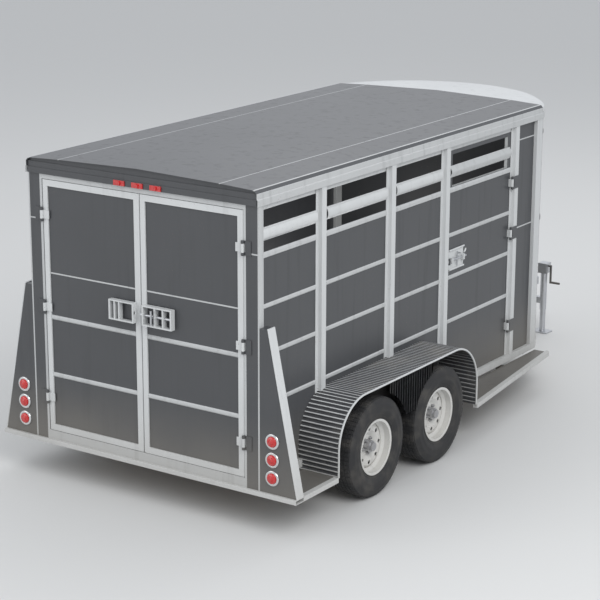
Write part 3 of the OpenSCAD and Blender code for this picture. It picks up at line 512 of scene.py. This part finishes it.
def fender_path(lift, step):
    """Points (y, z) over the fender, and the distance of each along the sheet."""
    y0, y1 = FENDER_LOW.y, FENDER_HIGH.y
    z0, top = FENDER_LOW.z, FENDER_HIGH.z
    rise, flat = top - ARC - z0, (y1 - y0) - 2 * ARC
    bend = ARC * pi / 2
    length = 2 * rise + 2 * bend + flat
    count = round(length / step)
    points = []
    for i in range(count + 1):
        s = length * i / count
        if s < rise:
            y, z, turn = y0, z0 + s, pi
        elif s < rise + bend:
            turn = pi - (s - rise) / ARC
            y, z = y0 + ARC + ARC * cos(turn), top - ARC + ARC * sin(turn)
        elif s < rise + bend + flat:
            y, z, turn = y0 + ARC + s - rise - bend, top, pi / 2
        elif s < rise + 2 * bend + flat:
            turn = pi / 2 - (s - rise - bend - flat) / ARC
            y, z = y1 - ARC + ARC * cos(turn), top - ARC + ARC * sin(turn)
        else:
            y, z, turn = y1, top - ARC - (s - rise - 2 * bend - flat), 0
        out = lift(s)
        points.append((y + out * cos(turn), z + out * sin(turn)))
    return points

def rib_wave(s):
    """Height of the sheet over its path, always below it: a wave cut flat at top and foot."""
    foot, crest = -0.35, 0.55
    return -0.0042 + 0.0040 * max(foot, min(crest, sin(2 * pi * s / RIB_PITCH))) / crest

print("fender path has", len(fender_path(rib_wave, PATH_STEP)), "points")

# %% Ribbed fender skin
def fender(side, sign):
    node = "fender_" + side
    bm = bmesh.new()
    path = fender_path(rib_wave, PATH_STEP)
    points = [bm.verts.new((FENDER_INNER * sign, y, z)) for y, z in path]
    chain = [bm.edges.new(pair) for pair in zip(points, points[1:])]
    width = (FENDER_HIGH.x - 0.007 - FENDER_INNER) * sign
    grown = bmesh.ops.extrude_edge_only(bm, edges=chain)["geom"]
    moved = [v for v in grown if isinstance(v, bmesh.types.BMVert)]
    bmesh.ops.translate(bm, verts=moved, vec=(width, 0, 0))
    for i, edge in enumerate(chain):
        crest = sin(2 * pi * (i + 0.5) * PATH_STEP / RIB_PITCH) > 0.45
        for face in edge.link_faces:
            face.material_index = int(crest)
    bmesh.ops.recalc_face_normals(bm, faces=bm.faces)
    top = max(bm.faces, key=lambda f: f.calc_center_median().z)
    if top.normal.z < 0:
        bmesh.ops.reverse_faces(bm, faces=bm.faces)
    bmesh.ops.solidify(bm, geom=bm.faces, thickness=SHEET)
    bmesh.ops.recalc_face_normals(bm, faces=bm.faces)
    return finished(bm, node + "_ribbed", "root", "plate", SLOTS[node], [node], 50, "frame")

# %% Rolled bead on the outer edge
def round_bar(bm, path, radius, sides=10):
    """A round bar along a path of points in one plane across X."""
    last = None
    for i, point in enumerate(path):
        before, after = path[max(i - 1, 0)], path[min(i + 1, len(path) - 1)]
        run = Vector(after) - Vector(before)
        turn = Matrix.Rotation(atan2(run.z, run.y), 4, "X")
        ring = bmesh.ops.create_circle(bm, segments=sides, radius=radius, cap_ends=False,
                                       matrix=Matrix.Translation(point) @ turn
                                       @ Matrix.Rotation(pi / 2, 4, "X"))["verts"]
        edges = list({e for v in ring for e in v.link_edges if e.other_vert(v) in ring})
        if last:
            bmesh.ops.bridge_loops(bm, edges=last + edges)
        else:
            bmesh.ops.contextual_create(bm, geom=edges)
        last = edges
    bmesh.ops.contextual_create(bm, geom=last)

def fender_bead(side, sign):
    bm = bmesh.new()
    path = [(sign * (FENDER_HIGH.x - 0.0075), y, z)
            for y, z in fender_path(lambda s: -0.0080, 0.03)]
    round_bar(bm, path, 0.0074)
    bmesh.ops.recalc_face_normals(bm, faces=bm.faces)
    return finished(bm, "fender_bead_" + side, "root", "frame", SLOTS["fender_" + side])

# %% Plate between the wheels
def wheel_gap_plate(side, sign):
    """An upright plate with pressed ribs, cut round both tyres."""
    bm = bmesh.new()
    middle = (FENDER_LOW.y + FENDER_HIGH.y) / 2
    wheels = [WHEELS["rear_" + side], WHEELS["front_" + side]]
    pitch, reach = 0.0055, 0.30       # between two columns of points, and half the plate's length
    clear = 0.024                     # from the plate to a tyre
    start, least, most = 0.010, 0.034, 0.31   # its top, and the limits of its foot, from the crest
    rows = []
    for i in range(-round(reach / pitch), round(reach / pitch) + 1):
        y = middle + i * pitch
        low = FENDER_HIGH.z - most
        for wheel in wheels:
            gap = (CROWN + clear) ** 2 - (y - wheel.y) ** 2
            if gap > 0:
                low = max(low, wheel.z + gap ** 0.5)
        out = 0.003 if i % 6 in (2, 3, 4) else 0
        low = min(low, FENDER_HIGH.z - least)
        x = sign * (FENDER_HIGH.x - 0.014 + out)
        rows.append((bm.verts.new((x, y, low)), bm.verts.new((x, y, FENDER_HIGH.z - start))))
    for first, second in zip(rows, rows[1:]):
        bm.faces.new((first[0], second[0], second[1], first[1]))
    bmesh.ops.solidify(bm, geom=bm.faces, thickness=SHEET)
    bmesh.ops.recalc_face_normals(bm, faces=bm.faces)
    return finished(bm, "wheel_gap_plate_" + side, "root", "plate", SLOTS["fender_" + side],
                    (), 50)

for side, sign in (("left", -1), ("right", 1)):
    for make in (fender, fender_bead, wheel_gap_plate):
        piece = make(side, sign)
        print(piece.name, len(piece.data.polygons), "faces")

# %% [markdown]
# ## Vent slats
# Between the posts a rounded slat keeps muzzles in and lets air out. The slat is a shallow bow:
# a half ring in section, extruded along each bay, with a folded lip at its upper and lower edge.
# A curve with a round bevel would be quicker, but it has no lips.

# %% Find the separate solids of a node
def islands(node):
    """The box of each separate solid in a node."""
    bm = bmesh.new()
    bm.from_mesh(frame["nodes"][node].data)
    bmesh.ops.remove_doubles(bm, verts=bm.verts, dist=WELD)
    left, boxes = set(bm.verts), []
    while left:
        stack, group = [left.pop()], []
        while stack:
            vert = stack.pop()
            group.append(vert.co.copy())
            for edge in vert.link_edges:
                other = edge.other_vert(vert)
                if other in left:
                    left.remove(other)
                    stack.append(other)
        boxes.append((Vector([min(c[k] for c in group) for k in range(3)]),
                      Vector([max(c[k] for c in group) for k in range(3)])))
    bm.free()
    return boxes

print(len(islands("vent_slats")), "slats")

# %% Slats
SLAT_SHEET = 0.0025               # thickness of the bow
BOW_STEPS = 8

def slats():
    bm = bmesh.new()
    for low, high in islands("vent_slats"):
        sign = 1 if low.x > 0 else -1
        inner, outer = sorted((abs(low.x), abs(high.x)))
        middle, tall = (low.z + high.z) / 2, (high.z - low.z) / 2
        bow = [(inner + 0.002, -tall), (inner + 0.004, -tall + 0.001)]
        for k in range(BOW_STEPS + 1):
            turn = -pi / 2 + pi * k / BOW_STEPS
            bow.append((inner + 0.004 + (outer - inner - 0.004) * cos(turn),
                        (tall - 0.006) * sin(turn)))
        bow += [(inner + 0.004, tall - 0.001), (inner + 0.002, tall)]
        back = [(x - (SLAT_SHEET if x > inner + 0.003 else 0.002), z * 0.96) for x, z in bow]
        ring = [bm.verts.new((sign * x, low.y, middle + z)) for x, z in bow + back[::-1]]
        face = bm.faces.new(ring)
        grown = bmesh.ops.extrude_face_region(bm, geom=[face])["geom"]
        ends = [v for v in grown if isinstance(v, bmesh.types.BMVert)]
        bmesh.ops.translate(bm, verts=ends, vec=(0, high.y - low.y, 0))
    bmesh.ops.recalc_face_normals(bm, faces=bm.faces)
    return finished(bm, "bowed_vent_slats", "root", "frame", SLOTS["vent_slats"],
                    ["vent_slats"], 40)

print(slats().name, "made")

# %% [markdown]
# ## Tail lamps
# Each round lamp sits in a bright ring. The lens is spun: a flat rim, a groove and a low dome with
# a smaller bull's-eye in the middle. All six come from one profile, so a change to it changes every
# lamp; stacked cylinders would leave steps where the real lens is moulded in one curve.

# %% Lamps
def spun_lamps(name, node, profile, finish):
    bm = bmesh.new()
    for low, high in islands(node):
        centre = Vector(((low.x + high.x) / 2, high.y, (low.z + high.z) / 2))
        points = [bm.verts.new(centre + Vector((r, -out, 0))) for r, out in profile]
        chain = [bm.edges.new(pair) for pair in zip(points, points[1:])]
        bmesh.ops.spin(bm, geom=points + chain, cent=centre, axis=(0, 1, 0), dvec=(0, 0, 0),
                       angle=2 * pi, steps=48, use_merge=True)
    bmesh.ops.remove_doubles(bm, verts=bm.verts, dist=WELD_SPUN)
    bmesh.ops.recalc_face_normals(bm, faces=bm.faces)
    return finished(bm, name, "root", finish, SLOTS[node], [node], 40)

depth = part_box("lamp_lenses")[1].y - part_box("lamp_lenses")[0].y
R = 0.0456                        # radius of a lens
# Both profiles are (radius, distance out from the wing)
LENS = [(0, 0), (R, 0), (R, 0.008), (R - 0.003, 0.0105), (R - 0.006, 0.0105), (R - 0.008, 0.009),
        (0.034, depth - 0.0070), (0.026, depth - 0.0035), (0.019, depth - 0.0022),
        (0.017, depth - 0.0042), (0.014, depth - 0.0015), (0.007, depth - 0.0003), (0, depth)]
RING = [(0.046, 0), (0.055, 0), (0.055, 0.004), (0.0535, 0.0090), (0.0500, 0.0118),
        (0.0405, 0.0118), (0.0388, 0.0112), (0.0388, 0.0107), (0.046, 0.0107), (0.046, 0)]
spun_lamps("tail_lamp_lenses", "lamp_lenses", LENS, "lens")
spun_lamps("tail_lamp_rings", "lamp_rings", RING, "chrome")
print("lamp depth", round(depth * 1000, 1), "mm")

# %% [markdown]
# ## Floor, light and camera
# A plain pale floor runs past the view, so that it is also the backdrop. One broad soft light
# stands behind the camera, a wide one fills from the left and a third lifts the roof edge. The
# camera has a long lens and looks down on the rear corner.

# %% Floor
floor_mesh = bmesh.new()
bmesh.ops.create_grid(floor_mesh, x_segments=1, y_segments=1, size=90)
floor_data = bpy.data.meshes.new("studio_floor")
floor_mesh.to_mesh(floor_data)
floor_mesh.free()
floor = bpy.data.objects.new("studio_floor", floor_data)
bpy.context.scene.collection.objects.link(floor)
ground = Finish("pale_floor")
ground.set(Base_Color=(0.62, 0.62, 0.61, 1), Roughness=0.8)
floor_data.materials.append(ground.material)
floor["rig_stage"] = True
print("floor finish:", ground.material.name)

# %% Lights
def soft_light(name, place, aim, size, power):
    data = bpy.data.lights.new(name, "AREA")
    data.size, data.energy = size, power
    light = bpy.data.objects.new(name, data)
    light.location = place
    light.rotation_euler = (Vector(aim) - Vector(place)).to_track_quat("-Z", "Y").to_euler()
    bpy.context.scene.collection.objects.link(light)

soft_light("key", (9, -7, 9), (0, 0, 1), 7, 800)
soft_light("fill", (-7, -12, 6), (0, -1, 1.2), 8, 330)
soft_light("top", (-2, 6, 10), (0, 1, 2), 8, 260)
soft_light("inside", (0, 0.2, 0.7), (0, 0.2, 2), 1.2, 14)
world = bpy.data.worlds.new("studio")
bpy.context.scene.world = world
world.use_nodes = True
sky = world.node_tree.nodes["Background"]
sky.inputs["Color"].default_value = (0.92, 0.95, 1, 1)
sky.inputs["Strength"].default_value = 0.80

# %% Camera
view = bpy.data.cameras.new("view")
view.lens, view.sensor_width = 115.41, 36     # millimetres
view.shift_x, view.shift_y = 0.0308, 0.0225
view.clip_end = 400
camera = bpy.data.objects.new("view", view)
camera.location = (7.983, -12.734, 4.965)
TILT, TURN = 15.853, 34.743                   # degrees down from level, and round from the rear
camera.rotation_euler = (radians(90 - TILT), 0, radians(TURN))
bpy.context.scene.collection.objects.link(camera)
bpy.context.scene.camera = camera
bpy.context.scene.view_settings.view_transform = "Standard"
print("camera", round(camera.location.length, 2), "m from the middle of the trailer")

# %% Compare the finished size with the frame
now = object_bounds()
growth = [a - b for a, b in zip(cad_box[0], now[0])] + [b - a for a, b in zip(cad_box[1], now[1])]
print("largest growth", round(max(growth), 5), "m")
